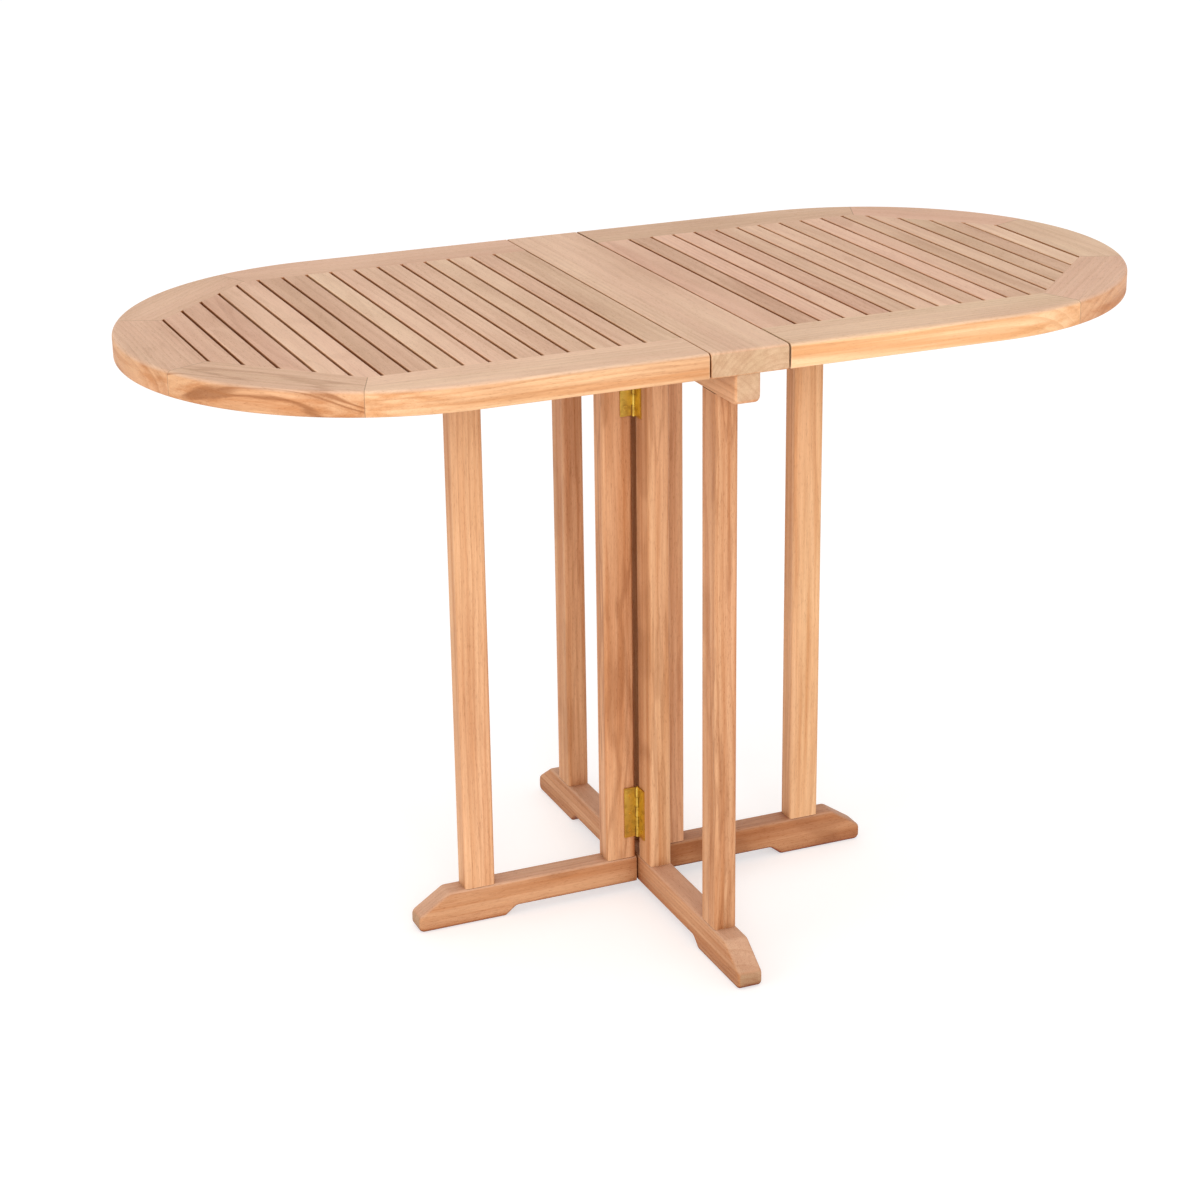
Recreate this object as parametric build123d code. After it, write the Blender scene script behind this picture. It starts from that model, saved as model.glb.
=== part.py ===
from build123d import *
import math
import os

# Gateleg table in solid wood: a fixed centre frame under a narrow centre
# board, two round-ended slatted leaves hinged to the board, and two gates
# hinged to the centre frame that swing out under the leaves.
# Frame: millimetres, +Z up, origin on the floor under the middle of the
# table. +X runs along the length, -Y is the front.
# Every right-hand (+X) piece is turned half a turn about Z for the left.

# ---------------------------------------------------------------- top
top_length = 1200.0
top_width = 590.0
table_height = 750.0
top_thick = 28.0
board_width = 91.0
board_screw_spots = (-265.0, -120.0, 120.0, 265.0)
board_screw_depth = 13.0
leaf_gap = 2.0
frame_width = 70.0
stile_width = 39.5
slat_count = 15
slat_gap = 3.4
slat_thick = 15.0
edge_round = 5.0
under_round = 3.0
small_round = 1.2
tongue_thick = 6.0
tongue_long = 8.0
tongue_drop = 6.0
fit_clear = 0.1
batten_width = 60.0
dowel_radius = 4.0
dowel_long = 46.0

# ---------------------------------------------------------------- base
rail_thick = 30.0
foot_height = 45.0
foot_reach = 305.0
pad_inner = 194.5
arch_start = 180.5
arch_rise = 11.0
nose_height = 19.0
slope_start = 266.0
beam_depth = 35.0
beam_reach = 290.0
gate_reach = 299.0
post_thick = 27.0
post_width = 38.0
outer_post = 201.0
inner_post = 20.0
post_round = 4.0
rail_round = 4.0
tenon_thick = 10.0
tenon_width = 26.0
tenon_long = 24.0

# ---------------------------------------------------------------- gates
end_clear = 2.0
gate_top = 716.0
rest_clear = 0.3
stop_depth = 18.0
stop_start = 170.0
stop_end = 250.0
stop_screw_spots = (186.0, 234.0)
stop_round = 3.0

# ---------------------------------------------------------------- brass
hinge_long = 65.0
hinge_wide = 16.5
leaf_hinge_long = 60.0
leaf_hinge_wide = 20.0
plate_thick = 1.8
barrel_radius = 2.4
barrel_clear = 0.1
pin_radius = 1.2
bore_radius = 1.25
knuckle_count = 5
knuckle_clear = 0.5
lower_hinge = 73.0
upper_hinge = 606.0
leaf_hinge_spots = (-200.0, 0.0, 200.0)

# ---------------------------------------------------------------- derived
half_width = top_width / 2
half_board = board_width / 2
top_under = table_height - top_thick
leaf_start = half_board + leaf_gap
end_centre = top_length / 2 - half_width
apothem = half_width - frame_width
open_start = leaf_start + stile_width
open_end = end_centre + apothem
slat_room = open_end - open_start - (slat_count + 1) * slat_gap
slat_width = slat_room / slat_count
slat_under = table_height - slat_thick
tongue_top = table_height - tongue_drop
tongue_under = tongue_top - tongue_thick
half_rail = rail_thick / 2
half_post = post_thick / 2
beam_under = top_under - beam_depth
gate_rail_under = gate_top - beam_depth

# A gate turns about an upright pin just clear of the posts' faces.
pin_offset = barrel_radius + barrel_clear
gate_start = half_rail + end_clear
pin_x = half_post + pin_offset
post_set_back = (rail_thick - post_thick) / 2
gate_post_back = inner_post + 1.0
gate_post_front = gate_post_back - post_thick
gate_rail_back = gate_post_back + post_set_back
gate_rail_front = gate_rail_back - rail_thick
pin_y = gate_post_back + pin_offset
gate_middle = (gate_rail_back + gate_rail_front) / 2

# A leaf turns about a pin just under the joint between board and leaf.
leaf_pin_x = half_board + leaf_gap / 2
leaf_pin_z = top_under - pin_offset
stop_under = gate_top - stop_depth

os.makedirs("parts", exist_ok=True)


# ---------------------------------------------------------------- helpers
def block(x0, x1, y0, y1, z0, z1):
    """A box between two corners."""
    box = Box(x1 - x0, y1 - y0, z1 - z0)
    return Pos((x0 + x1) / 2, (y0 + y1) / 2, (z0 + z1) / 2) * box


def slab(points, z0, z1):
    """A flat outline in plan, raised from z0 to z1."""
    face = make_face(Polyline(*points, close=True))
    return Pos(0, 0, z0) * extrude(face, z1 - z0)


def rod(start, direction, radius, length):
    """A round bar from a start point along a direction."""
    plane = Plane(origin=start, z_dir=direction)
    bar = Cylinder(radius, length, align=(Align.CENTER, Align.CENTER, Align.MIN))
    return plane * bar


def cut(body, cutters):
    """Take every cutter away from a body."""
    for cutter in cutters:
        body = body - cutter
    return body


def screw(head, direction, head_radius, radius, length):
    """A countersunk wood screw with a cross recess, head centre given."""
    plane = Plane(origin=head, z_dir=direction)
    low = (Align.CENTER, Align.CENTER, Align.MIN)
    cone = Cone(head_radius, radius, head_radius - radius, align=low)
    shank = Cylinder(radius, length, align=low)
    slot = Box(head_radius * 1.1, 0.6, 0.6, align=low)
    solid = cone + shank
    solid = solid - slot
    solid = solid - Rot(0, 0, 90) * slot
    return plane * solid


def screw_hole(head, direction, head_radius, radius, length):
    """The plain countersunk hole that the same screw fills."""
    plane = Plane(origin=head, z_dir=direction)
    low = (Align.CENTER, Align.CENTER, Align.MIN)
    cone = Cone(head_radius, radius, head_radius - radius, align=low)
    shank = Cylinder(radius, length, align=low)
    return plane * (cone + shank)


def turn(shape):
    """Half a turn about Z, from the right-hand side to the left."""
    return Rot(0, 0, 180) * shape


def save(name, shape):
    """Write one node."""
    export_step(shape, "parts/" + name + ".step")


def save_group(name, solids):
    """Write one node of separate identical solids."""
    export_step(Compound(children=solids), "parts/" + name + ".step")


# ---------------------------------------------------------------- screws
def leaf_plate_screws(side):
    """Screw places in the leaf hinges: side -1 on the board, +1 on the leaf."""
    x = leaf_pin_x + side * leaf_hinge_wide * 0.62
    z = top_under - plate_thick
    places = []
    for y in leaf_hinge_spots:
        for step in (-1, 0, 1):
            places.append((x, y + step * leaf_hinge_long * 0.36, z))
    return places


def leaf_plate_fit(place):
    """Sizes of one leaf hinge screw."""
    return (place, (0, 0, 1), 2.8, 1.5, 15.0)


def gate_plate_heights():
    """Heights of the screws in the two gate hinges of one gate."""
    heights = []
    for low in (lower_hinge, upper_hinge):
        for share in (0.15, 0.5, 0.85):
            heights.append(low + hinge_long * share)
    return heights


def gate_fixed_fit(height):
    """One screw through the fixed gate hinge plate into the centre post."""
    head = (half_post + plate_thick, pin_y + hinge_wide * 0.62, height)
    return (head, (-1, 0, 0), 2.6, 1.4, 16.0)


def gate_moving_fit(height):
    """One screw through the moving gate hinge plate into the gate post."""
    head = (pin_x + hinge_wide * 0.62, gate_post_back + plate_thick, height)
    return (head, (0, -1, 0), 2.6, 1.4, 16.0)


def slat_middle(index):
    """The X of one slat's centre line."""
    pitch = slat_width + slat_gap
    return open_start + slat_gap + slat_width / 2 + index * pitch


def batten_screw_fits():
    """One screw through the batten into each slat, in a zigzag."""
    fits = []
    for index in range(slat_count):
        side = 18.0 if index % 2 else -18.0
        head = (slat_middle(index), side, top_under)
        fits.append((head, (0, 0, 1), 3.2, 1.7, 22.0))
    return fits


def stop_screw_fits():
    """Two screws up through the stop block into the batten."""
    fits = []
    y = gate_rail_front - rest_clear - stop_depth / 2
    for x in stop_screw_spots:
        head = (x, y, stop_under)
        fits.append((head, (0, 0, 1), 3.2, 1.7, 34.0))
    return fits


def board_screw(y):
    """A pan-head screw in a deep hole under the top rail."""
    low = beam_under + board_screw_depth
    head = rod((0, y, low), (0, 0, 1), 4.8, 3.0)
    shank = rod((0, y, low + 3.0), (0, 0, 1), 2.4, 38.0)
    slot = block(-3.5, 3.5, y - 0.5, y + 0.5, low - 0.1, low + 1.2)
    return head + shank - slot


def board_screw_hole(y):
    """The deep hole and the pilot hole for one board screw."""
    low = beam_under + board_screw_depth
    deep = rod((0, y, beam_under - 1.0), (0, 0, 1), 4.8, board_screw_depth + 4.0)
    pilot = rod((0, y, low + 3.0), (0, 0, 1), 2.4, 38.0)
    return deep + pilot


# ---------------------------------------------------------------- leaf
def octagon(reach, start):
    """Half an octagon in plan about the end centre, at a given apothem."""
    near = reach * math.tan(math.radians(22.5))
    far_x = end_centre + reach
    bend_x = end_centre + near
    points = [(start, -reach), (bend_x, -reach), (far_x, -near)]
    points += [(far_x, near), (bend_x, reach), (start, reach)]
    return points


def ray(angle, reach):
    """A plan point seen from the end centre."""
    turn_by = math.radians(angle)
    x = end_centre + reach * math.cos(turn_by)
    return (x, reach * math.sin(turn_by))


def leaf_blank():
    """The whole round-ended leaf outline, with its outer edges rounded."""
    start_low = (leaf_start, -half_width)
    bend_low = (end_centre, -half_width)
    nose = (end_centre + half_width, 0)
    bend_high = (end_centre, half_width)
    start_high = (leaf_start, half_width)
    outline = Polyline(start_high, start_low, bend_low)
    outline += ThreePointArc(bend_low, nose, bend_high)
    outline += Line(bend_high, start_high)
    blank = Pos(0, 0, top_under) * extrude(make_face(outline), top_thick)
    upper = blank.faces().sort_by(Axis.Z)[-1].edges()
    upper = [e for e in upper if e.center().X > leaf_start + 1]
    blank = fillet(upper, edge_round)
    lower = blank.faces().sort_by(Axis.Z)[0].edges()
    lower = [e for e in lower if e.center().X > leaf_start + 1]
    return fillet(lower, under_round)


def mitre_dowel(angle):
    """A dowel across one mitre, at the middle of the frame's width."""
    middle = ray(angle, half_width - frame_width * 0.47)
    across = math.radians(angle + 90)
    direction = (math.cos(across), math.sin(across), 0)
    back = dowel_long / 2
    start_x = middle[0] - back * direction[0]
    start_y = middle[1] - back * direction[1]
    start = (start_x, start_y, top_under + 8.0)
    return rod(start, direction, dowel_radius, dowel_long)


mitre_angles = (-67.5, -22.5, 22.5, 67.5)
dowels = [mitre_dowel(angle) for angle in mitre_angles]


def leaf_frame_piece(region):
    """One piece of the leaf's frame, cut from the blank by a plan region."""
    piece = leaf_blank() & slab(region, top_under - 1, table_height + 1)
    reach = apothem + tongue_long + 1.0
    low = tongue_under - fit_clear
    high = tongue_top + fit_clear
    groove = slab(octagon(reach, leaf_start - 5), low, high)
    return cut(piece, [groove] + dowels)


def leaf_regions():
    """Plan regions of the five frame pieces outside the slats."""
    inner = octagon(apothem, leaf_start - 5)
    far = half_width * 1.5
    low_far = ray(-67.5, far)
    mid_low_far = ray(-22.5, far)
    mid_high_far = ray(22.5, far)
    high_far = ray(67.5, far)
    start_low = (leaf_start - 5, low_far[1])
    start_high = (leaf_start - 5, high_far[1])
    regions = {}
    regions["front_rail"] = [inner[0], inner[1], low_far, start_low]
    regions["front_corner"] = [inner[1], inner[2], mid_low_far, low_far]
    regions["end_rail"] = [inner[2], inner[3], mid_high_far, mid_low_far]
    regions["back_corner"] = [inner[3], inner[4], high_far, mid_high_far]
    regions["back_rail"] = [inner[4], inner[5], start_high, high_far]
    return regions


def inner_stile():
    """The stile along the board, tongued into both side rails."""
    low = top_under
    body = block(leaf_start, open_start, -apothem, apothem, low, table_height)
    upper = body.faces().sort_by(Axis.Z)[-1].edges().filter_by(Axis.Y)
    body = fillet(upper, small_round)
    reach = apothem + tongue_long
    body += block(leaf_start, open_start, -reach, reach, tongue_under, tongue_top)
    holes = [screw_hole(*leaf_plate_fit(p)) for p in leaf_plate_screws(1)]
    return cut(body, holes)


def slat(index):
    """One slat, following the frame's inside, with a tongue at each end."""
    middle = slat_middle(index)
    low_x = middle - slat_width / 2
    high_x = middle + slat_width / 2
    strip = block(low_x, high_x, -300, 300, slat_under, table_height)
    body = strip & slab(octagon(apothem, 0), slat_under, table_height)
    upper = body.faces().sort_by(Axis.Z)[-1].edges().filter_by(Axis.Y)
    body = fillet(upper, small_round)
    strip = block(low_x, high_x, -300, 300, tongue_under, tongue_top)
    reach = apothem + tongue_long
    tongue = strip & slab(octagon(reach, 0), tongue_under, tongue_top)
    return cut(body + tongue, [screw_hole(*batten_screw_fits()[index])])


def batten():
    """The flat batten under the slats, let in flush with the frame."""
    half = batten_width / 2
    body = block(open_start, open_end, -half, half, top_under, slat_under)
    holes = [screw_hole(*fit) for fit in batten_screw_fits()]
    holes += [screw_hole(*fit) for fit in stop_screw_fits()]
    return cut(body, holes)


def stop_block():
    """The block that the open gate stops against and the leaf rests on."""
    low_y = gate_rail_front - rest_clear - stop_depth
    high_z = gate_top + rest_clear
    cheek_y = gate_rail_front - rest_clear
    pad = block(stop_start, stop_end, low_y, gate_middle, high_z, top_under)
    cheek = block(stop_start, stop_end, low_y, cheek_y, stop_under, high_z)
    body = pad + cheek
    upright = body.edges().filter_by(Axis.Z)
    upright = upright.filter_by_position(Axis.Y, low_y - 1, low_y + 1)
    body = fillet(upright, stop_round)
    return cut(body, [screw_hole(*fit) for fit in stop_screw_fits()])


# ---------------------------------------------------------------- base
def foot_outline(reach):
    """Half a foot rail's side profile, from the middle out to the nose."""
    lost = foot_reach - reach
    points = [(arch_start - lost, arch_rise), (pad_inner - lost, 0), (reach, 0)]
    points += [(reach, nose_height), (slope_start - lost, foot_height)]
    return points


def foot_rail(start, reach):
    """A foot rail along +X from start, arched up behind its end pad."""
    outline = foot_outline(reach)
    points = [(start, arch_rise)] + outline + [(start, foot_height)]
    profile = make_face(Polyline(*points, close=True))
    sizes = ((1, 10.0), (2, 5.0), (3, 7.0), (4, 9.0), (5, 12.0))
    for number, radius in sizes:
        spot = Vector(points[number][0], points[number][1], 0)
        corner = profile.vertices().sort_by_distance(spot)[0]
        profile = fillet(corner, radius)
    return Pos(0, half_rail, 0) * extrude(Plane.XZ * profile, rail_thick)


def soften(body, axis, radius, ends):
    """Round the edges of a rail's two side faces, except at cut ends."""
    sides = body.faces().filter_by(axis).sort_by(axis)
    chosen = []
    for face in (sides[0], sides[-1]):
        for edge in face.edges():
            if abs(edge.center().X - ends) > 0.5:
                chosen.append(edge)
    return fillet(chosen, radius)


def top_rail(start, reach, low, high):
    """A top rail along +X from start, its outer lower corner rounded."""
    body = block(start, reach, -half_rail, half_rail, low, high)
    nose = body.edges().filter_by(Axis.Y)
    nose = nose.filter_by_position(Axis.X, reach - 1, reach + 1)
    nose = nose.sort_by(Axis.Z)[0]
    return fillet(nose, 10.0)


def rail_soft(body, start, reach, low, radius):
    """Round a top rail's lower and end edges."""
    sides = body.faces().filter_by(Axis.Y)
    chosen = []
    for face in sides:
        for edge in face.edges():
            middle = edge.center()
            on_top = middle.Z > low + beam_depth - 0.5
            on_cut = abs(middle.X - start) < 0.5
            if not on_top and not on_cut:
                chosen.append(edge)
    return fillet(chosen, radius)


def post(x0, y_middle, low, high):
    """An upright along a rail that runs in X, with a tenon at each end."""
    x1 = x0 + post_width
    half = half_post
    body = block(x0, x1, y_middle - half, y_middle + half, low, high)
    body = fillet(body.edges().filter_by(Axis.Z), post_round)
    return body + tenons(x0, y_middle, low, high)


def tenons(x0, y_middle, low, high):
    """The two tenons of one post, which also cut their mortises."""
    middle = x0 + post_width / 2
    half_w = tenon_width / 2
    half_t = tenon_thick / 2
    y0 = y_middle - half_t
    y1 = y_middle + half_t
    lower = block(middle - half_w, middle + half_w, y0, y1, low - tenon_long, low)
    upper = block(middle - half_w, middle + half_w, y0, y1, high, high + tenon_long)
    return lower + upper


def along_y(shape):
    """Turn a piece made along +X so that it runs along +Y."""
    return Rot(0, 0, 90) * shape


centre_posts = {
    "front_outer_post": -outer_post - post_width,
    "front_inner_post": -inner_post - post_width,
    "back_inner_post": inner_post,
    "back_outer_post": outer_post,
}


def centre_mortises():
    """All the tenons of the centre frame, to cut its mortises."""
    cutters = []
    for place in centre_posts.values():
        cutters.append(along_y(tenons(place, 0, foot_height, beam_under)))
    return cutters


def centre_foot_rail():
    """The fixed foot rail, the same at both ends."""
    half = soften(foot_rail(0, foot_reach), Axis.Y, rail_round, 0)
    whole = half + turn(half)
    return cut(along_y(whole), centre_mortises())


def centre_top_rail():
    """The fixed rail under the centre board."""
    half = top_rail(0, beam_reach, beam_under, top_under)
    half = rail_soft(half, 0, beam_reach, beam_under, rail_round)
    whole = half + turn(half)
    holes = [board_screw_hole(y) for y in board_screw_spots]
    return cut(along_y(whole), centre_mortises() + holes)


def centre_board():
    """The fixed board between the leaves."""
    body = block(-half_board, half_board, -half_width, half_width, top_under, table_height)
    upper = body.faces().sort_by(Axis.Z)[-1].edges()
    body = fillet(upper.filter_by(Axis.X), edge_round)
    upper = body.faces().sort_by(Axis.Z)[-1].edges()
    body = fillet(upper.filter_by(Axis.Y), small_round)
    lower = body.faces().sort_by(Axis.Z)[0].edges()
    body = fillet(lower.filter_by(Axis.X), under_round)
    holes = [board_screw_hole(y) for y in board_screw_spots]
    for place in leaf_plate_screws(-1):
        hole = screw_hole(*leaf_plate_fit(place))
        holes += [hole, turn(hole)]
    return cut(body, holes)


def centre_post(place):
    """One post of the centre frame, drilled for its hinge screws."""
    body = along_y(post(place, 0, foot_height, beam_under))
    if abs(place) >= outer_post:
        return body
    holes = []
    for height in gate_plate_heights():
        hole = screw_hole(*gate_fixed_fit(height))
        holes += [hole, turn(hole)]
    return cut(body, holes)


# ---------------------------------------------------------------- gates
gate_posts = (gate_start, outer_post)


def gate_mortises():
    """The tenons of both gate posts, to cut their mortises."""
    cutters = []
    y_middle = (gate_post_front + gate_post_back) / 2
    for place in gate_posts:
        cutters.append(tenons(place, y_middle, foot_height, gate_rail_under))
    return cutters


def gate_foot_rail():
    """A gate's foot rail, with one pad at its outer end."""
    body = soften(foot_rail(gate_start, gate_reach), Axis.Y, rail_round, gate_start)
    return cut(Pos(0, gate_middle, 0) * body, gate_mortises())


def gate_top_rail():
    """A gate's top rail, just under the leaf."""
    body = top_rail(gate_start, beam_reach, gate_rail_under, gate_top)
    body = rail_soft(body, gate_start, beam_reach, gate_rail_under, rail_round)
    return cut(Pos(0, gate_middle, 0) * body, gate_mortises())


def gate_post(place):
    """A gate post; the inner one is drilled for the hinge screws."""
    y_middle = (gate_post_front + gate_post_back) / 2
    body = post(place, y_middle, foot_height, gate_rail_under)
    if place > gate_start:
        return body
    holes = [screw_hole(*gate_moving_fit(h)) for h in gate_plate_heights()]
    return cut(body, holes)


# ---------------------------------------------------------------- hinges
def knuckles(length, first):
    """Start and end of every second knuckle along a hinge."""
    pitch = length / knuckle_count
    spans = []
    for number in range(first, knuckle_count, 2):
        low = number * pitch + (knuckle_clear / 2 if number else 0)
        last = number == knuckle_count - 1
        high = (number + 1) * pitch - (0 if last else knuckle_clear / 2)
        spans.append((low, high))
    return spans


def hinge_leaf(length, width, first, bore):
    """A hinge plate at its own pin: the plate lies out along +X, its outer
    face at the barrel's far side, and its knuckles stand along +Z."""
    clear = barrel_radius + knuckle_clear
    outer = -pin_offset
    body = block(clear, width, outer, outer + plate_thick, 0, length)
    for low, high in knuckles(length, first):
        barrel = rod((0, 0, low), (0, 0, 1), barrel_radius, high - low)
        body += block(0, clear, -barrel_radius, outer + plate_thick, low, high)
        body += barrel
    return body - rod((0, 0, -1), (0, 0, 1), bore, length + 2)


def gate_moving_plate(low):
    """The hinge plate on the gate post's back face."""
    plate = hinge_leaf(hinge_long, hinge_wide, 1, bore_radius)
    plate = Pos(pin_x, pin_y, low) * plate
    holes = [screw_hole(*gate_moving_fit(h)) for h in gate_plate_heights()]
    return cut(plate, holes)


def gate_fixed_plate(low):
    """The hinge plate on the centre post's side face."""
    plate = hinge_leaf(hinge_long, hinge_wide, 0, pin_radius)
    plate = mirror(plate, Plane.XZ)
    plate = Pos(pin_x, pin_y, low) * Rot(0, 0, 90) * plate
    holes = [screw_hole(*gate_fixed_fit(h)) for h in gate_plate_heights()]
    return cut(plate, holes)


def gate_pin(low):
    """The pin of one gate hinge, proud by a little at both ends."""
    return rod((pin_x, pin_y, low - 0.8), (0, 0, 1), pin_radius, hinge_long + 1.6)


def lay_down(shape, y):
    """Lay a standing hinge along +Y under the leaf joint, at one place."""
    laid = Rot(-90, 0, 0) * shape
    return Pos(leaf_pin_x, y - leaf_hinge_long / 2, leaf_pin_z) * laid


def leaf_moving_plate(y):
    """A leaf hinge's plate under the leaf's stile."""
    plate = hinge_leaf(leaf_hinge_long, leaf_hinge_wide, 1, bore_radius)
    plate = lay_down(plate, y)
    holes = [screw_hole(*leaf_plate_fit(p)) for p in leaf_plate_screws(1)]
    return cut(plate, holes)


def leaf_fixed_plate(y):
    """A leaf hinge's plate under the centre board."""
    plate = hinge_leaf(leaf_hinge_long, leaf_hinge_wide, 0, pin_radius)
    plate = mirror(plate, Plane.YZ)
    plate = lay_down(plate, y)
    holes = [screw_hole(*leaf_plate_fit(p)) for p in leaf_plate_screws(-1)]
    return cut(plate, holes)


def leaf_pin(y):
    """The pin of one leaf hinge."""
    start = (leaf_pin_x, y - leaf_hinge_long / 2 - 0.8, leaf_pin_z)
    return rod(start, (0, 1, 0), pin_radius, leaf_hinge_long + 1.6)


# ---------------------------------------------------------------- export
def both_sides(solids):
    """Right-hand solids with their left-hand twins."""
    return solids + [turn(solid) for solid in solids]


def save_pair(name, shape):
    """Write a right-hand piece and its left-hand twin."""
    save("right_" + name, shape)
    save("left_" + name, turn(shape))


def save_group_pair(name, solids):
    """Write a right-hand group and its left-hand twin."""
    save_group("right_" + name, solids)
    save_group("left_" + name, [turn(solid) for solid in solids])


def build_centre():
    """The fixed centre frame and board."""
    save("centre_board", centre_board())
    save("centre_top_rail", centre_top_rail())
    save("centre_foot_rail", centre_foot_rail())
    for name, place in centre_posts.items():
        save(name, centre_post(place))
    save_group("board_screws", [board_screw(y) for y in board_screw_spots])
    plates = [leaf_fixed_plate(y) for y in leaf_hinge_spots]
    save_group_pair("board_hinge_plates", plates)
    save_group("leaf_hinge_pins", both_sides([leaf_pin(y) for y in leaf_hinge_spots]))
    screws = [screw(*leaf_plate_fit(p)) for p in leaf_plate_screws(-1)]
    save_group("board_hinge_screws", both_sides(screws))


def build_gate_hinges():
    """The fixed halves of the gate hinges."""
    save_pair("lower_post_hinge_plate", gate_fixed_plate(lower_hinge))
    save_pair("upper_post_hinge_plate", gate_fixed_plate(upper_hinge))
    pins = [gate_pin(lower_hinge), gate_pin(upper_hinge)]
    save_group("gate_hinge_pins", both_sides(pins))
    screws = [screw(*gate_fixed_fit(h)) for h in gate_plate_heights()]
    save_group("post_hinge_screws", both_sides(screws))


def build_leaves():
    """Both slatted leaves with their hinge plates, battens and stops."""
    swap = {"front_rail": "back_rail", "front_corner": "back_corner"}
    swap.update({"back_rail": "front_rail", "back_corner": "front_corner"})
    for name, region in leaf_regions().items():
        piece = leaf_frame_piece(region)
        save("right_leaf_" + name, piece)
        save("left_leaf_" + swap.get(name, name), turn(piece))
    save_pair("leaf_inner_stile", inner_stile())
    slats = [slat(index) for index in range(slat_count)]
    save_group_pair("leaf_long_slats", slats[:10])
    save_group_pair("leaf_cut_slats", slats[10:])
    save_pair("leaf_batten", batten())
    save_pair("leaf_stop_block", stop_block())
    save_group_pair("leaf_mitre_dowels", dowels)
    screws = [screw(*fit) for fit in batten_screw_fits() + stop_screw_fits()]
    save_group_pair("leaf_wood_screws", screws)
    plates = [leaf_moving_plate(y) for y in leaf_hinge_spots]
    save_group_pair("leaf_hinge_plates", plates)
    screws = [screw(*leaf_plate_fit(p)) for p in leaf_plate_screws(1)]
    save_group_pair("leaf_hinge_screws", screws)


def build_gates():
    """Both swinging gates."""
    save_pair("gate_foot_rail", gate_foot_rail())
    save_pair("gate_top_rail", gate_top_rail())
    save_pair("gate_inner_post", gate_post(gate_posts[0]))
    save_pair("gate_outer_post", gate_post(gate_posts[1]))
    plates = [gate_moving_plate(lower_hinge), gate_moving_plate(upper_hinge)]
    save_group_pair("gate_hinge_plates", plates)
    screws = [screw(*gate_moving_fit(h)) for h in gate_plate_heights()]
    save_group_pair("gate_hinge_screws", screws)


build_centre()
build_gate_hinges()
build_leaves()
build_gates()
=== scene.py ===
import math
import random

import bpy
from mathutils import Euler, Matrix, Vector


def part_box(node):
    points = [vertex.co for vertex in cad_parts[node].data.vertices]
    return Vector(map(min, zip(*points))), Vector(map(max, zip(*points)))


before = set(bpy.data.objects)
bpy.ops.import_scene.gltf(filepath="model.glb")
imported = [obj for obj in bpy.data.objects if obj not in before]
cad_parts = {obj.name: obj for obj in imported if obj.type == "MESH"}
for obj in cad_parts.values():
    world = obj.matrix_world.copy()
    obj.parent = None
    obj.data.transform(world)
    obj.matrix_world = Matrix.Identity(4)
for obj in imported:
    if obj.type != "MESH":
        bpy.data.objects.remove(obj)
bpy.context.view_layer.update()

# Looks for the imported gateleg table: pale sanded teak, brass hinges, steel
# screws, a plain pale floor, soft studio light and one camera.
# Every length is in metres, in the model's own frame.

# Camera: place, then degrees of turn, dip and roll
CAMERA_PLACE = (-1.2126, -2.7645, 1.5002)
CAMERA_TURN = -22.785
CAMERA_DIP = 20.531
CAMERA_ROLL = -0.806
LENS_MM = 81.31
SENSOR_MM = 36.0
VIEW_REACH = 200.0

# Studio
FLOOR_HALF = 40.0
FLOOR_DROP = 0.0003
FLOOR_WHITE = (0.60, 0.60, 0.60, 1.0)
FLOOR_GLOW = 0.50
HORIZON_LEVEL = 1.0
OVERHEAD_LEVEL = 0.80
WHITE = (1.0, 1.0, 1.0, 1.0)
LIGHT_COLOUR = (1.0, 0.985, 0.96)
LIGHT_TARGET = (0.0, 0.0, 0.45)
# name: (place, side, watts)
SOFT_BOXES = {
    "front_light": ((-1.4, -4.4, 2.1), 2.4, 95.0),
    "left_light": ((-4.4, -1.2, 2.2), 2.0, 32.0),
}

# Slats of one leaf, as the model has them
SLAT_COUNT = 15
SLAT_GAP = 0.0034
SLATS_START = 0.087
SLATS_END = 0.530
SLAT_LEVEL = 0.71

# Mitres of one leaf meet at this distance from the middle of the table
END_CENTRE = 0.305
MITRE_ANGLES = (22.5, 67.5)
SEAM_WIDTH = 0.0010
SEAM_STRENGTH = 0.5

# Wood colours, linear
TEAK_PALE = (0.660, 0.380, 0.200, 1.0)
TEAK_WARM = (0.500, 0.215, 0.080, 1.0)
TEAK_DARK = (0.300, 0.115, 0.038, 1.0)
# Up-facing faces: sun-faded teak together with a painted sky reflection
TEAK_FADED_TOP_AND_SHEEN = (0.720, 0.500, 0.350, 1.0)
TEAK_WORN = (0.720, 0.450, 0.260, 1.0)
TEAK_END = (0.490, 0.370, 0.240, 1.0)
TEAK_SEAM = (0.150, 0.070, 0.035, 1.0)
TEAK_IOR = 1.46
TEAK_SHINE = 0.22

# Wood figure: cycles a metre along the grain and across it
WANDER = (1.6, 9.0, 9.0)
FIBRE = (28.0, 900.0, 900.0)
PORES = (150.0, 1700.0, 1700.0)
BANDS = (2.2, 95.0, 95.0)
PATCHES = (4.0, 14.0, 14.0)
BLUSH = (2.2, 22.0, 22.0)
RING_SPACING = 0.0058
RING_WANDER = 0.034
VEINS_PER_RING = 0.22
VEINS_ALONG = 2.6
VEIN_LEVEL = 0.54
BUMP_DEPTH = 0.0004
BUMP_STRENGTH = 0.5

# How far each layer goes towards its own colour
LATE_TINT = 0.34
BAND_TINT = 0.85
FADED_TOP_AND_SHEEN_TINT = 0.72
END_TINT = 0.60
EDGE_TINT = 0.35

# How much each layer lightens or darkens the wood
FIBRE_TONE = 0.34
PATCH_TONE = 0.36
LATE_TONE = -0.07
PORE_TONE = -0.18
EDGE_RADIUS = 0.003
# Painted shade in gaps and inside corners: how far it looks and how dark it gets
CREVICE_SHADE_REACH = 0.045
CREVICE_SHADE_DEPTH = 0.55

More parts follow.
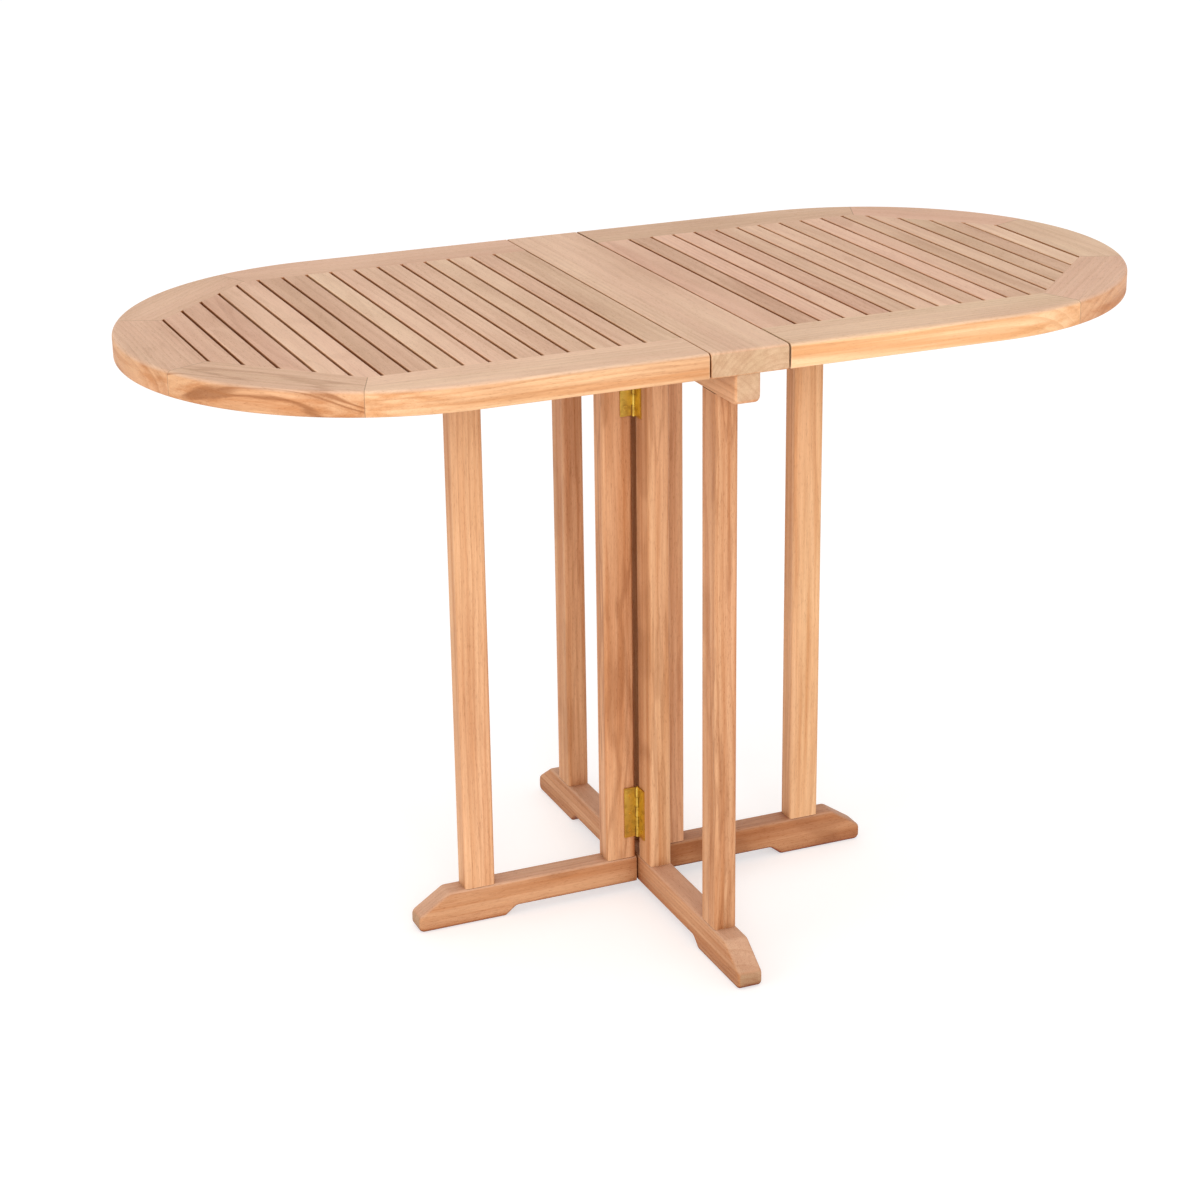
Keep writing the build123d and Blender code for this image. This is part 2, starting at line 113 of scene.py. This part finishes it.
# Darker wood loses more green than red, and more blue than green
DARK_GREEN = -0.30
DARK_BLUE = -0.55
BLUSH_RANGE = 0.5
BLUSH_MIDDLE = 0.3
BLUSH_GREEN = 0.24
BLUSH_BLUE = 0.14

# How far one piece or slat may lie from its neighbour in its tree
TRUNK_HALF = 8
PITH_NEAR = 0.05
PITH_FAR = 0.13
SLAT_SHIFT = 16.0
SLAT_SIDE = 0.14
SLAT_DEPTH = 0.09
SLAT_TONES = 0.19
SLAT_TONE_DROP = 0.075
SLAT_REDS = 0.24
SLAT_RED_DROP = 0.06

# Which way the grain runs, by the end of a node's name; the rest run along Y
GRAIN_X = (
    "front_rail", "back_rail", "batten", "stop_block",
    "gate_foot_rail", "gate_top_rail",
)
GRAIN_Z = ("post",)
GRAIN_RISING = ("right_leaf_front_corner", "left_leaf_back_corner")
GRAIN_FALLING = ("right_leaf_back_corner", "left_leaf_front_corner")
MITRED = ("leaf_front_rail", "leaf_back_rail", "corner", "end_rail")

# (tone, red, streak) of the pieces that stand out from the rest
PIECE_TONES = {
    "centre_board": (0.04, 0.0, 0.0),
    "left_leaf_front_corner": (-0.03, 0.05, 0.75),
    "left_leaf_end_rail": (-0.04, 0.1, 0.25),
    "left_leaf_front_rail": (0.07, 0.0, 0.15),
    "right_leaf_front_rail": (0.06, -0.15, 0.05),
    "right_gate_foot_rail": (-0.30, 0.1, 0.3),
    "left_gate_foot_rail": (-0.15, 0.1, 0.25),
    "centre_foot_rail": (-0.17, 0.1, 0.2),
    "front_outer_post": (-0.09, 0.10, 0.3),
    "front_inner_post": (-0.02, 0.1, 0.3),
    "right_gate_outer_post": (0.10, -0.1, 0.0),
    "left_gate_outer_post": (0.05, 0.05, 0.1),
    "left_gate_inner_post": (0.0, 0.1, 0.4),
    "back_outer_post": (-0.10, 0.1, 0.2),
}
# Spread of tone, red and streak over the other pieces
USUAL_TONES = ((-0.05, 0.05), (-0.15, 0.25), (0.0, 0.25))
# How much paler a piece's sides are painted than its top: a painted sheen
PAINTED_SIDE_SHEEN = {"right_leaf_front_rail": 0.28}

# Metals: (plain colour, tarnished colour, roughness)
BRASS = ((0.69, 0.47, 0.09, 1.0), (0.39, 0.22, 0.04, 1.0), 0.34)
STEEL = ((0.46, 0.42, 0.36, 1.0), (0.20, 0.15, 0.10, 1.0), 0.36)
BRUSHING = (900.0, 900.0, 60.0)
TARNISH = (90.0, 90.0, 90.0)
METAL_SCRATCH = 0.2
METAL_EDGE_RADIUS = 0.0008
METAL_BUMP_DEPTH = 0.00006
METAL_BUMP_STRENGTH = 0.4


# ---------------------------------------------------------------- node helpers
def plug(tree, value, socket):
    """Link a node's output to a socket, or set the socket to a plain value."""
    if isinstance(value, bpy.types.NodeSocket):
        tree.links.new(value, socket)
    else:
        socket.default_value = value


def put(tree, kind, values, **settings):
    """Add a shader node; values go to its inputs, settings to its fields."""
    made = tree.nodes.new(kind)
    for field, value in settings.items():
        setattr(made, field, value)
    for key, value in values.items():
        plug(tree, value, made.inputs[key])
    return made


def maths(tree, operation, first, second=0.0, third=0.0, clamp=False):
    """One number from up to three."""
    values = {0: first, 1: second, 2: third}
    made = put(tree, "ShaderNodeMath", values, operation=operation, use_clamp=clamp)
    return made.outputs[0]


def vector_maths(tree, operation, first, second=(0.0, 0.0, 0.0)):
    """One vector from two."""
    values = {0: first, 1: second}
    made = put(tree, "ShaderNodeVectorMath", values, operation=operation)
    return made.outputs["Vector"]


def smooth(tree, value, low, high, start=0.0, stop=1.0):
    """A smooth step from start to stop as value goes from low to high."""
    values = {"Value": value, "From Min": low, "From Max": high}
    values.update({"To Min": start, "To Max": stop})
    made = put(tree, "ShaderNodeMapRange", values, interpolation_type="SMOOTHSTEP")
    return made.outputs["Result"]


def noise(tree, point, stretch, detail=2.0, rough=0.5):
    """Noise over a point stretched by a factor for each axis."""
    stretched = vector_maths(tree, "MULTIPLY", point, stretch)
    values = {"Vector": stretched, "Scale": 1.0, "Detail": detail, "Roughness": rough}
    return put(tree, "ShaderNodeTexNoise", values, noise_dimensions="3D")


def mix(tree, factor, first, second, blend="MIX"):
    """One colour from two."""
    made = put(tree, "ShaderNodeMix", {}, data_type="RGBA", blend_type=blend)
    for index, value in ((0, factor), (6, first), (7, second)):
        plug(tree, value, made.inputs[index])
    return made.outputs[2]


def object_point(tree):
    """The place on the model of each point of a surface."""
    return put(tree, "ShaderNodeTexCoord", {}).outputs["Object"]


def axes_of(tree, vector):
    """A vector's three parts."""
    return put(tree, "ShaderNodeSeparateXYZ", {0: vector}).outputs


def edge_mask(tree, radius):
    """Near 1 on outside edges, 0 on flat faces."""
    bevel = put(tree, "ShaderNodeBevel", {"Radius": radius}, samples=4)
    geometry = put(tree, "ShaderNodeNewGeometry", {})
    normals = {0: bevel.outputs[0], 1: geometry.outputs["Normal"]}
    same = put(tree, "ShaderNodeVectorMath", normals, operation="DOT_PRODUCT")
    return smooth(tree, same.outputs["Value"], 0.995, 0.85)


def painted_crevice_shade(tree, reach, depth):
    """Painted shade: a negative tone in gaps and inside corners, 0 on open faces."""
    open_sky = put(tree, "ShaderNodeAmbientOcclusion", {"Distance": reach}, samples=4)
    return smooth(tree, open_sky.outputs["AO"], 0.05, 0.80, -depth, 0.0)


# ---------------------------------------------------------------- teak group
def group_with(name, inputs, outputs):
    """An empty node group with the given sockets."""
    tree = bpy.data.node_groups.new(name, "ShaderNodeTree")
    for direction, sockets in (("INPUT", inputs), ("OUTPUT", outputs)):
        for socket, kind in sockets:
            tree.interface.new_socket(socket, in_out=direction, socket_type=kind)
    return tree


def growth_rings(tree, point):
    """Growth rings about a wandering pith: (ring count, late-wood mask)."""
    wander = noise(tree, point, WANDER).outputs["Color"]
    centred = vector_maths(tree, "SUBTRACT", wander, (0.5, 0.5, 0.5))
    shift = vector_maths(tree, "MULTIPLY", centred, (0.0, RING_WANDER, RING_WANDER))
    moved = vector_maths(tree, "ADD", point, shift)
    flat = vector_maths(tree, "MULTIPLY", moved, (0.0, 1.0, 1.0))
    length = put(tree, "ShaderNodeVectorMath", {0: flat}, operation="LENGTH")
    count = maths(tree, "DIVIDE", length.outputs["Value"], RING_SPACING)
    part = maths(tree, "FRACT", count)
    rise = smooth(tree, part, 0.25, 0.92)
    fall = smooth(tree, part, 1.0, 0.94)
    whole = maths(tree, "FLOOR", count)
    each = put(tree, "ShaderNodeTexWhiteNoise", {"W": whole}, noise_dimensions="1D")
    strength = maths(tree, "MULTIPLY_ADD", each.outputs["Value"], 0.75, 0.25)
    late = maths(tree, "MULTIPLY", maths(tree, "MULTIPLY", rise, fall), strength)
    return count, late


def dark_veins(tree, given, count):
    """Dark veins: the contour lines of a noise that follows the rings."""
    across = maths(tree, "MULTIPLY", count, VEINS_PER_RING)
    along = axes_of(tree, given["Point"])[0]
    along = maths(tree, "MULTIPLY", along, VEINS_ALONG)
    spot = put(tree, "ShaderNodeCombineXYZ", {0: across, 1: along}).outputs[0]
    cloud = noise(tree, spot, (1.0, 1.0, 1.0), 3.0, 0.6).outputs[0]
    off_level = maths(tree, "SUBTRACT", cloud, VEIN_LEVEL)
    vein = smooth(tree, maths(tree, "ABSOLUTE", off_level), 0.006, 0.045, 1.0, 0.0)
    vein = maths(tree, "MULTIPLY", vein, given["Streak"])
    # Veins fade on up-facing faces, under their sun-faded colour and painted sheen
    fading = maths(tree, "MULTIPLY_ADD", given["Faded_top_and_sheen"], -0.6, 1.0)
    return maths(tree, "MULTIPLY", vein, fading)


def layered_colour(tree, given, late, vein):
    """Teak's colours laid over each other, before light and dark."""
    bands = noise(tree, given["Point"], BANDS, 3.0, 0.55).outputs[0]
    layers = (
        (maths(tree, "MULTIPLY", late, LATE_TINT), TEAK_WARM),
        (smooth(tree, bands, 0.36, 0.70, 0.0, BAND_TINT), TEAK_WARM),
        # Up-facing faces go paler: partly sun-faded teak, partly a painted sky
        # reflection
        (maths(tree, "MULTIPLY", given["Faded_top_and_sheen"], FADED_TOP_AND_SHEEN_TINT), TEAK_FADED_TOP_AND_SHEEN),
        (vein, TEAK_DARK),
        (maths(tree, "MULTIPLY", given["End"], END_TINT), TEAK_END),
        (maths(tree, "MULTIPLY", given["Edge"], EDGE_TINT), TEAK_WORN),
    )
    colour = TEAK_PALE
    for factor, layer in layers:
        colour = mix(tree, factor, colour, layer)
    return colour


def light_and_dark(tree, given, fibre, late, pore):
    """A grey-brown colour to multiply by, 1 where the wood is plain."""
    patches = noise(tree, given["Point"], PATCHES).outputs[0]
    tone = 1.0
    for cloud, amount in ((fibre, FIBRE_TONE), (patches, PATCH_TONE)):
        centred = maths(tree, "SUBTRACT", cloud, 0.5)
        tone = maths(tree, "MULTIPLY_ADD", centred, amount, tone)
    tone = maths(tree, "MULTIPLY_ADD", late, LATE_TONE, tone)
    tone = maths(tree, "MULTIPLY_ADD", pore, PORE_TONE, tone)
    # Tone holds each piece's own tone, plus painted shade in crevices and painted
    # sheen on some sides
    tone = maths(tree, "ADD", tone, given["Tone"])
    lack = maths(tree, "SUBTRACT", 1.0, tone)
    green = maths(tree, "MULTIPLY_ADD", lack, DARK_GREEN, tone)
    blue = maths(tree, "MULTIPLY_ADD", lack, DARK_BLUE, tone)
    parts = {0: tone, 1: green, 2: blue}
    return put(tree, "ShaderNodeCombineColor", parts).outputs[0]


def pink_blush(tree, given):
    """A pinkish colour to multiply by, in soft patches."""
    cloud = noise(tree, given["Point"], BLUSH).outputs["Color"]
    hue = put(tree, "ShaderNodeSeparateColor", {0: cloud}).outputs[1]
    hue = maths(tree, "SUBTRACT", hue, BLUSH_MIDDLE)
    hue = maths(tree, "MULTIPLY_ADD", hue, BLUSH_RANGE, given["Red"])
    parts = {0: 1.0}
    for channel, loss in ((1, BLUSH_GREEN), (2, BLUSH_BLUE)):
        lost = maths(tree, "MULTIPLY", hue, loss)
        parts[channel] = maths(tree, "SUBTRACT", 1.0, lost)
    return put(tree, "ShaderNodeCombineColor", parts).outputs[0]


def make_teak_group():
    """Teak from a point (X along the grain, YZ from the pith) and masks."""
    floats = ("Faded_top_and_sheen", "Edge", "End", "Tone", "Red", "Streak", "Seam")
    inputs = [("Point", "NodeSocketVector")]
    inputs += [(name, "NodeSocketFloat") for name in floats]
    outputs = [("Colour", "NodeSocketColor")]
    outputs += [(name, "NodeSocketFloat") for name in ("Roughness", "Height")]
    tree = group_with("teak", inputs, outputs)
    given = tree.nodes.new("NodeGroupInput").outputs
    point = given["Point"]

    count, late = growth_rings(tree, point)
    fibre = noise(tree, point, FIBRE, 3.0, 0.6).outputs[0]
    pore = smooth(tree, noise(tree, point, PORES, 1.0).outputs[0], 0.60, 0.72)
    vein = dark_veins(tree, given, count)

    colour = layered_colour(tree, given, late, vein)
    shade = light_and_dark(tree, given, fibre, late, pore)
    colour = mix(tree, 1.0, colour, shade, "MULTIPLY")
    colour = mix(tree, 1.0, colour, pink_blush(tree, given), "MULTIPLY")
    colour = mix(tree, given["Seam"], colour, TEAK_SEAM)

    rough = smooth(tree, fibre, 0.3, 0.7, 0.50, 0.66)
    rough = maths(tree, "MULTIPLY_ADD", pore, 0.12, rough)
    rough = maths(tree, "MULTIPLY_ADD", given["Edge"], -0.10, rough, True)

    height = maths(tree, "MULTIPLY", fibre, 0.8)
    height = maths(tree, "MULTIPLY_ADD", pore, -0.6, height)
    height = maths(tree, "MULTIPLY_ADD", late, 0.35, height)

    results = {"Colour": colour, "Roughness": rough, "Height": height}
    put(tree, "NodeGroupOutput", results)
    return tree


# ---------------------------------------------------------------- teak materials
def grain_rotation(name):
    """The turn that lays a node's grain along X."""
    if name.endswith(GRAIN_Z):
        return (0.0, math.radians(90), 0.0)
    if name in GRAIN_RISING:
        return (0.0, 0.0, math.radians(-45))
    if name in GRAIN_FALLING:
        return (0.0, 0.0, math.radians(45))
    if name.endswith(GRAIN_X):
        return (0.0, 0.0, 0.0)
    return (0.0, 0.0, math.radians(-90))


def pith_offset(rng):
    """A point on the piece as seen from its tree's pith."""
    angle = rng.uniform(0, 2 * math.pi)
    reach = rng.uniform(PITH_NEAR, PITH_FAR)
    along = rng.uniform(-TRUNK_HALF, TRUNK_HALF)
    return Vector((along, reach * math.cos(angle), reach * math.sin(angle)))


def piece_point(tree, name, rng):
    """Grain coordinates of a node that is one piece of wood."""
    rotation = grain_rotation(name)
    low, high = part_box(name)
    middle = Euler(rotation, "XYZ").to_matrix() @ ((low + high) / 2)
    place = pith_offset(rng) - middle
    values = {"Vector": object_point(tree), "Location": place, "Rotation": rotation}
    return put(tree, "ShaderNodeMapping", values, vector_type="POINT").outputs[0]


def slat_point(tree, seed):
    """Grain coordinates of a leaf's slats, and two random numbers a slat."""
    pitch = (SLATS_END - SLATS_START - SLAT_GAP) / SLAT_COUNT
    axes = axes_of(tree, object_point(tree))
    across = maths(tree, "ABSOLUTE", axes[0])
    steps = maths(tree, "SUBTRACT", across, SLATS_START + SLAT_GAP / 2)
    steps = maths(tree, "DIVIDE", steps, pitch)
    index = maths(tree, "FLOOR", steps)
    local = maths(tree, "MULTIPLY", maths(tree, "SUBTRACT", steps, index), pitch)
    key = maths(tree, "ADD", index, seed)
    draw = put(tree, "ShaderNodeTexWhiteNoise", {"W": key}, noise_dimensions="1D")
    parts = put(tree, "ShaderNodeSeparateColor", {0: draw.outputs["Color"]}).outputs
    along = maths(tree, "MULTIPLY_ADD", parts[0], SLAT_SHIFT, axes[1])
    side = maths(tree, "MULTIPLY_ADD", parts[1], SLAT_SIDE, local)
    side = maths(tree, "SUBTRACT", side, SLAT_SIDE / 2)
    down = maths(tree, "MULTIPLY_ADD", parts[2], SLAT_DEPTH, axes[2])
    down = maths(tree, "SUBTRACT", down, SLAT_LEVEL)
    point = put(tree, "ShaderNodeCombineXYZ", {0: along, 1: side, 2: down})
    return point.outputs[0], draw.outputs["Value"], parts[1]


def facing_masks(tree, name):
    """(how far a face looks up, how far it looks along the grain)."""
    normal = put(tree, "ShaderNodeTexCoord", {}).outputs["Normal"]
    values = {"Vector": normal, "Rotation": grain_rotation(name)}
    laid = put(tree, "ShaderNodeMapping", values, vector_type="VECTOR").outputs[0]
    along = maths(tree, "ABSOLUTE", axes_of(tree, laid)[0])
    up = axes_of(tree, normal)[2]
    return smooth(tree, up, 0.2, 0.9), smooth(tree, along, 0.75, 0.95)


def mitre_seam(tree):
    """The dark glue line where two pieces of a leaf's frame meet."""
    axes = axes_of(tree, object_point(tree))
    out = maths(tree, "SUBTRACT", maths(tree, "ABSOLUTE", axes[0]), END_CENTRE)
    side = maths(tree, "ABSOLUTE", axes[1])
    gaps = []
    for angle in MITRE_ANGLES:
        turn_by = math.radians(angle)
        level = maths(tree, "MULTIPLY", out, math.sin(turn_by))
        gap = maths(tree, "MULTIPLY_ADD", side, -math.cos(turn_by), level)
        gaps.append(maths(tree, "ABSOLUTE", gap))
    nearest = maths(tree, "MINIMUM", *gaps)
    near, far = SEAM_WIDTH * 0.35, SEAM_WIDTH * 0.65
    return smooth(tree, nearest, near, far, SEAM_STRENGTH, 0.0)


def new_material(name, colour):
    """An empty material with one shader, and its tree."""
    material = bpy.data.materials.new(name)
    material.use_nodes = True
    material.diffuse_color = colour
    tree = material.node_tree
    tree.nodes.clear()
    shader = put(tree, "ShaderNodeBsdfPrincipled", {})
    put(tree, "ShaderNodeOutputMaterial", {"Surface": shader.outputs[0]})
    return material, tree, shader


def finish_shader(tree, shader, colour, rough, height, depth, strength):
    """Colour, roughness and bump into a material's shader."""
    values = {"Height": height, "Distance": depth, "Strength": strength}
    bump = put(tree, "ShaderNodeBump", values)
    plug(tree, colour, shader.inputs["Base Color"])
    plug(tree, rough, shader.inputs["Roughness"])
    plug(tree, bump.outputs[0], shader.inputs["Normal"])


def teak_material(name, group, tone, red, streak):
    """Sanded teak for one node, with its own grain, tone and figure."""
    rng = random.Random("teak " + name)
    material, tree, shader = new_material("teak_" + name, TEAK_PALE)
    if name.endswith("slats"):
        point, light, blush = slat_point(tree, rng.randint(10, 900) + 0.5)
        tone = maths(tree, "MULTIPLY_ADD", light, SLAT_TONES, tone - SLAT_TONE_DROP)
        red = maths(tree, "MULTIPLY_ADD", blush, SLAT_REDS, red - SLAT_RED_DROP)
    else:
        point = piece_point(tree, name, rng)
    up, end = facing_masks(tree, name)
    # Painted shade: the wood is darkened in gaps, inside corners and under the top
    dark = painted_crevice_shade(tree, CREVICE_SHADE_REACH, CREVICE_SHADE_DEPTH)
    tone = maths(tree, "ADD", dark, tone)
    # Painted highlight: the sides of these pieces are made paler as a painted sheen
    paler = PAINTED_SIDE_SHEEN.get(name, 0.0)
    sides = maths(tree, "MULTIPLY_ADD", up, -paler, paler)
    tone = maths(tree, "ADD", tone, sides)
    values = {"Point": point, "Faded_top_and_sheen": up, "End": end, "Tone": tone, "Red": red}
    values.update({"Streak": streak, "Edge": edge_mask(tree, EDGE_RADIUS)})
    if name.endswith(MITRED):
        values["Seam"] = mitre_seam(tree)
    teak = tree.nodes.new("ShaderNodeGroup")
    teak.node_tree = group
    for key, value in values.items():
        plug(tree, value, teak.inputs[key])
    colour, rough, height = teak.outputs
    finish_shader(tree, shader, colour, rough, height, BUMP_DEPTH, BUMP_STRENGTH)
    shader.inputs["IOR"].default_value = TEAK_IOR
    shader.inputs["Specular IOR Level"].default_value = TEAK_SHINE
    return material


# ---------------------------------------------------------------- metal
def metal_material(name, plain, tarnish, rough):
    """Rolled metal with fine brushing, tarnish and bright worn edges."""
    material, tree, shader = new_material(name, plain)
    where = object_point(tree)
    brushed = noise(tree, where, BRUSHING, 3.0, 0.6).outputs[0]
    cloud = noise(tree, where, TARNISH, 4.0, 0.6).outputs[0]
    worn = edge_mask(tree, METAL_EDGE_RADIUS)
    dull = smooth(tree, cloud, 0.42, 0.68)
    colour = mix(tree, maths(tree, "MULTIPLY", dull, 0.75), plain, tarnish)
    bright = tuple(min(1.0, part * 1.25) for part in plain[:3]) + (1.0,)
    colour = mix(tree, maths(tree, "MULTIPLY", worn, 0.7), colour, bright)
    least = rough - METAL_SCRATCH / 2
    level = maths(tree, "MULTIPLY_ADD", brushed, METAL_SCRATCH, least)
    level = maths(tree, "MULTIPLY_ADD", dull, 0.16, level)
    level = maths(tree, "MULTIPLY_ADD", worn, -0.10, level, True)
    bump = (METAL_BUMP_DEPTH, METAL_BUMP_STRENGTH)
    finish_shader(tree, shader, colour, level, brushed, *bump)
    shader.inputs["Metallic"].default_value = 1.0
    return material


# ---------------------------------------------------------------- dressing
def dress(node, material):
    """Give a CAD node one material all over."""
    mesh = node.data
    if not mesh.materials:
        mesh.materials.append(material)
    for index in range(len(mesh.materials)):
        mesh.materials[index] = material


def tones_of(name):
    """A piece's (tone, red, streak): its own, or a random usual one."""
    rng = random.Random("tone " + name)
    usual = [rng.uniform(low, high) for low, high in USUAL_TONES]
    return PIECE_TONES.get(name, usual)


def dress_all():
    """Materials for every node of the model."""
    group = make_teak_group()
    brass = metal_material("brass", *BRASS)
    steel = metal_material("steel_screw", *STEEL)
    for name in sorted(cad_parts):
        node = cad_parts[name]
        if "hinge" in name:
            dress(node, brass)
        elif "screws" in name:
            dress(node, steel)
        else:
            dress(node, teak_material(name, group, *tones_of(name)))


# ---------------------------------------------------------------- studio
def make_floor():
    """A plain pale floor, far wider than the view."""
    half = FLOOR_HALF
    corners = [(-half, -half, 0), (half, -half, 0), (half, half, 0), (-half, half, 0)]
    mesh = bpy.data.meshes.new("floor")
    mesh.from_pydata(corners, [], [(0, 1, 2, 3)])
    floor = bpy.data.objects.new("floor", mesh)
    bpy.context.scene.collection.objects.link(floor)
    floor.location = (0, 0, -FLOOR_DROP)
    material, tree, shader = new_material("floor_paper", FLOOR_WHITE)
    shader.inputs["Base Color"].default_value = FLOOR_WHITE
    shader.inputs["Roughness"].default_value = 0.9
    shader.inputs["Specular IOR Level"].default_value = 0.1
    shader.inputs["Emission Color"].default_value = WHITE
    shader.inputs["Emission Strength"].default_value = FLOOR_GLOW
    mesh.materials.append(material)


def make_world():
    """A white surround, brighter round the horizon than overhead."""
    world = bpy.data.worlds.new("studio")
    world.use_nodes = True
    tree = world.node_tree
    tree.nodes.clear()
    way = put(tree, "ShaderNodeTexCoord", {}).outputs["Generated"]
    height = axes_of(tree, way)[2]
    strength = smooth(tree, height, 0.15, 0.9, HORIZON_LEVEL, OVERHEAD_LEVEL)
    values = {"Color": WHITE, "Strength": strength}
    background = put(tree, "ShaderNodeBackground", values)
    put(tree, "ShaderNodeOutputWorld", {"Surface": background.outputs[0]})
    bpy.context.scene.world = world


def make_lights():
    """Square area lights turned towards the middle of the table."""
    for name, (place, side, watts) in SOFT_BOXES.items():
        light = bpy.data.lights.new(name, "AREA")
        light.shape = "SQUARE"
        light.size = side
        light.energy = watts
        light.color = LIGHT_COLOUR
        lamp = bpy.data.objects.new(name, light)
        bpy.context.scene.collection.objects.link(lamp)
        lamp.location = place
        direction = Vector(LIGHT_TARGET) - Vector(place)
        lamp.rotation_euler = direction.to_track_quat("-Z", "Y").to_euler()


def make_camera():
    """The camera: place, then turn, dip and roll, with no shift."""
    turn_by = math.radians(CAMERA_TURN)
    dip = math.radians(CAMERA_DIP)
    roll = math.radians(CAMERA_ROLL)
    east = -math.sin(turn_by) * math.cos(dip)
    north = math.cos(turn_by) * math.cos(dip)
    forward = Vector((east, north, -math.sin(dip)))
    right = forward.cross(Vector((0, 0, 1))).normalized()
    up = right.cross(forward)
    right_rolled = math.cos(roll) * right + math.sin(roll) * up
    up_rolled = math.cos(roll) * up - math.sin(roll) * right
    facing = Matrix((right_rolled, up_rolled, -forward)).transposed().to_4x4()
    data = bpy.data.cameras.new("camera")
    data.lens = LENS_MM
    data.sensor_width = SENSOR_MM
    data.clip_end = VIEW_REACH
    camera = bpy.data.objects.new("camera", data)
    bpy.context.scene.collection.objects.link(camera)
    camera.matrix_world = Matrix.Translation(Vector(CAMERA_PLACE)) @ facing
    bpy.context.scene.camera = camera


dress_all()
make_floor()
make_world()
make_lights()
make_camera()
bpy.context.scene.view_settings.view_transform = "Standard"
